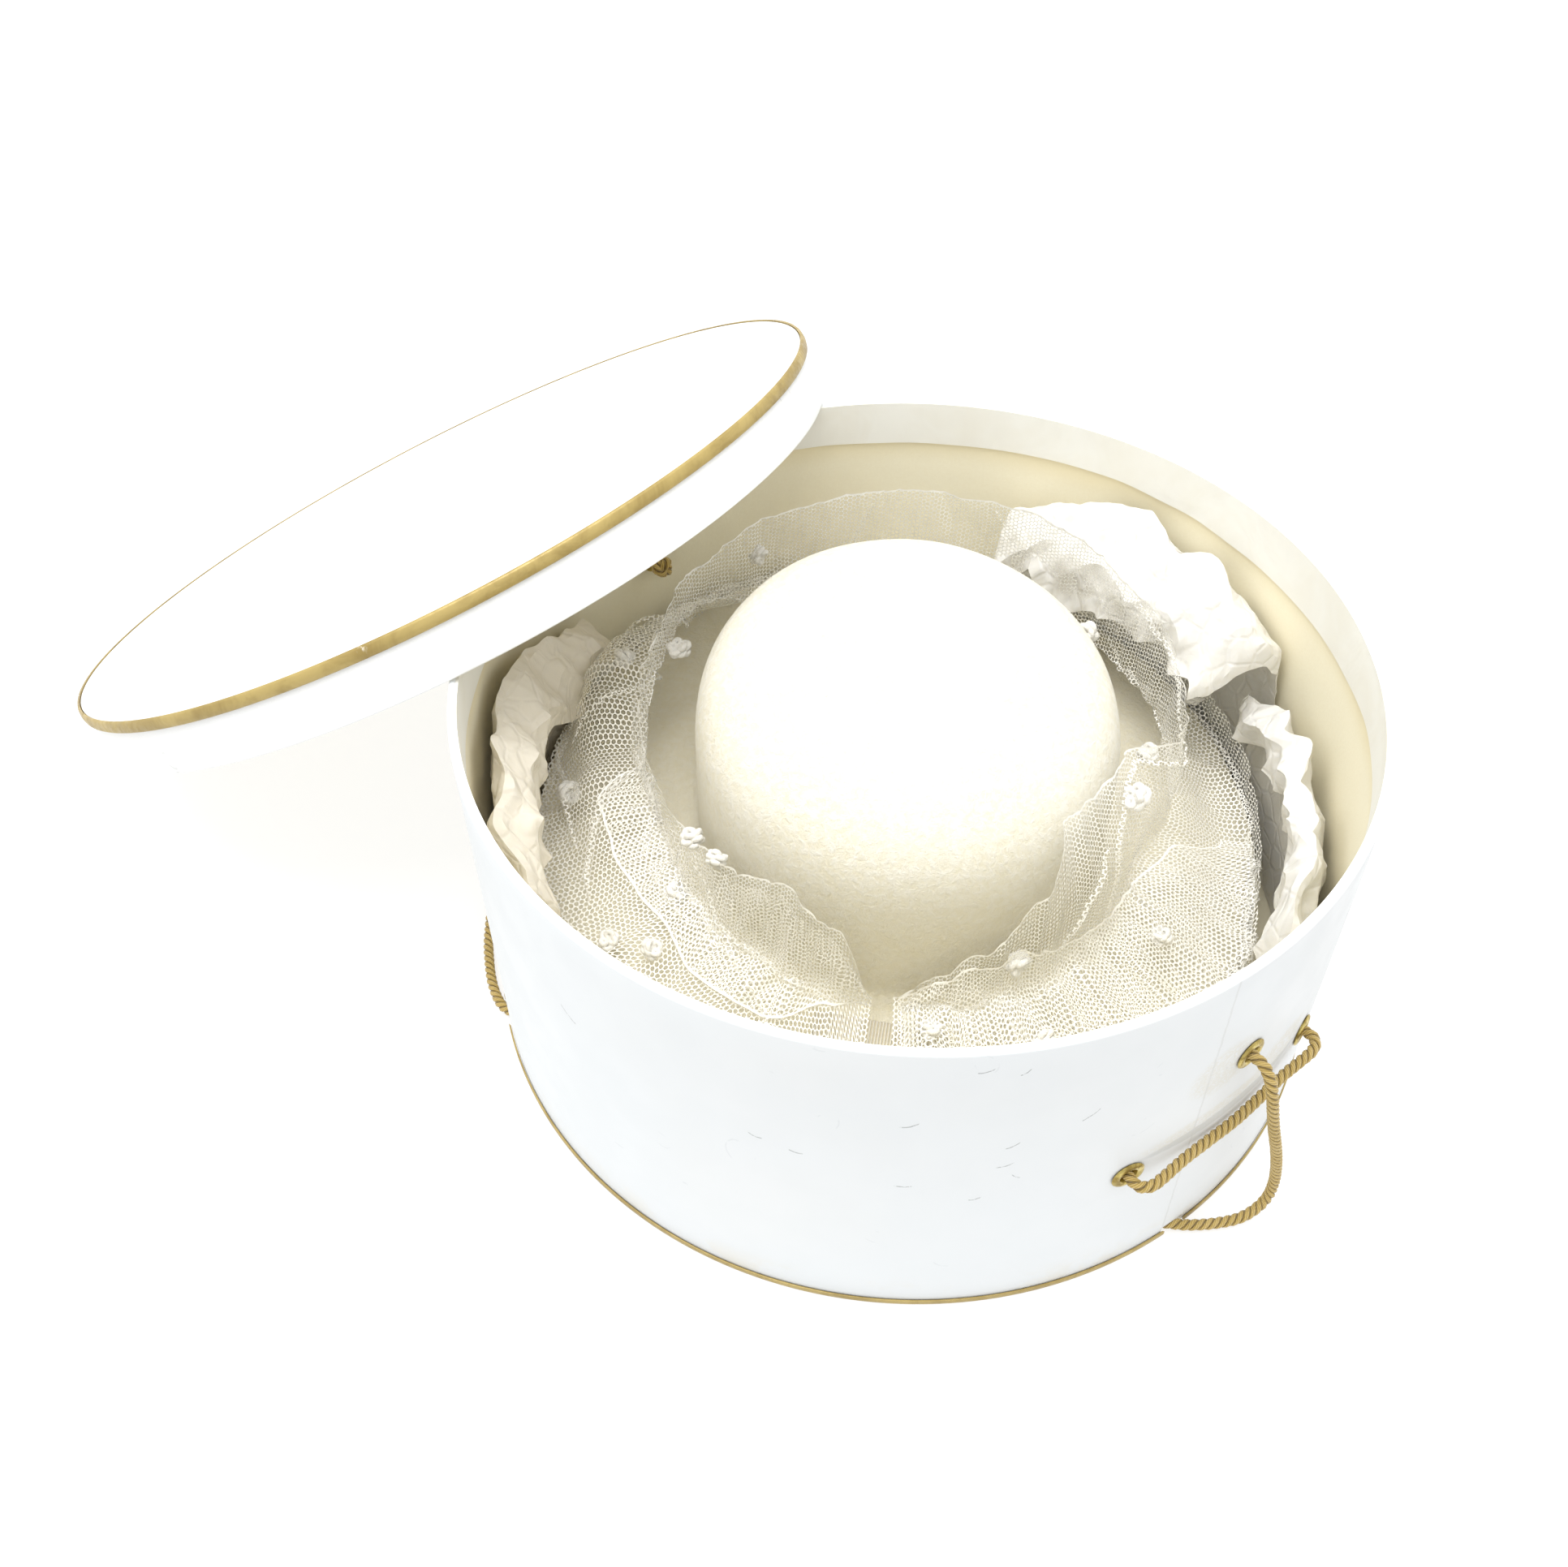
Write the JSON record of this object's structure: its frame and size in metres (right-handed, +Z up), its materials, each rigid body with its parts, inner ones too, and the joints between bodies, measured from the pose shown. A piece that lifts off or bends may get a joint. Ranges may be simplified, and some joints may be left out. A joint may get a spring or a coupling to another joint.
{
  "type": "veiled wool hat in a round hat box",
  "caption": "Ivory wool felt hat with a dotted net veil, packed in tissue in a round white hat box, its loose lid leaning on the rim.",
  "frame": {"origin": "on the floor plane under the middle of the whole group, cords left out", "axes": "+Z up, +X to the right and +Y away from the side the picture was taken from"},
  "size_m": [0.5704, 0.5342, 0.2158],
  "materials": {
    "ivory_felt": "brushed wool felt, matt",
    "ivory_net": "fine open net, see-through",
    "white_chenille": "tufted",
    "ivory_grosgrain": "ribbed ribbon, soft sheen",
    "white_box_paper": "white coated paper on board, scuffed",
    "tan_board": "bare board",
    "gold_paper": "gold edging, satin, worn",
    "brass": "dull, aged",
    "gold_rope": "twisted rope, soft sheen",
    "white_tissue": "crumpled tissue"
  },
  "bodies": {
    "root": {"base_trim_front": "gold_paper", "base_trim_rear": "gold_paper", "box_base": "tan_board", "box_wall": "white_box_paper", "carry_cord": "gold_rope", "eyelet_back": "brass", "eyelet_carry": "brass", "eyelet_left": "brass", "eyelet_right": "brass", "felt_hat": "ivory_felt", "knot_back": "gold_rope", "knot_carry": "gold_rope", "knot_left": "gold_rope", "knot_right": "gold_rope", "lid_panel": "white_box_paper", "lid_skirt": "white_box_paper", "lid_trim": "gold_paper", "ribbon_tab": "ivory_grosgrain", "ribbon_tail": "ivory_grosgrain", "rim_paper": "white_box_paper", "swag_cord": "gold_rope", "tissue_back": "white_tissue", "tissue_bed": "white_tissue", "tissue_left": "white_tissue", "tissue_right": "white_tissue", "veil_dot_01": "white_chenille", "veil_dot_02": "white_chenille", "veil_dot_03": "white_chenille", "veil_dot_04": "white_chenille", "veil_dot_05": "white_chenille", "veil_dot_06": "white_chenille", "veil_dot_07": "white_chenille", "veil_dot_08": "white_chenille", "veil_dot_09": "white_chenille", "veil_dot_10": "white_chenille", "veil_dot_11": "white_chenille", "veil_dot_12": "white_chenille", "veil_dot_13": "white_chenille", "veil_dot_14": "white_chenille", "veil_dot_15": "white_chenille", "veil_dot_16": "white_chenille", "veil_dot_17": "white_chenille", "veil_net": "ivory_net"}
  },
  "joints": []
}
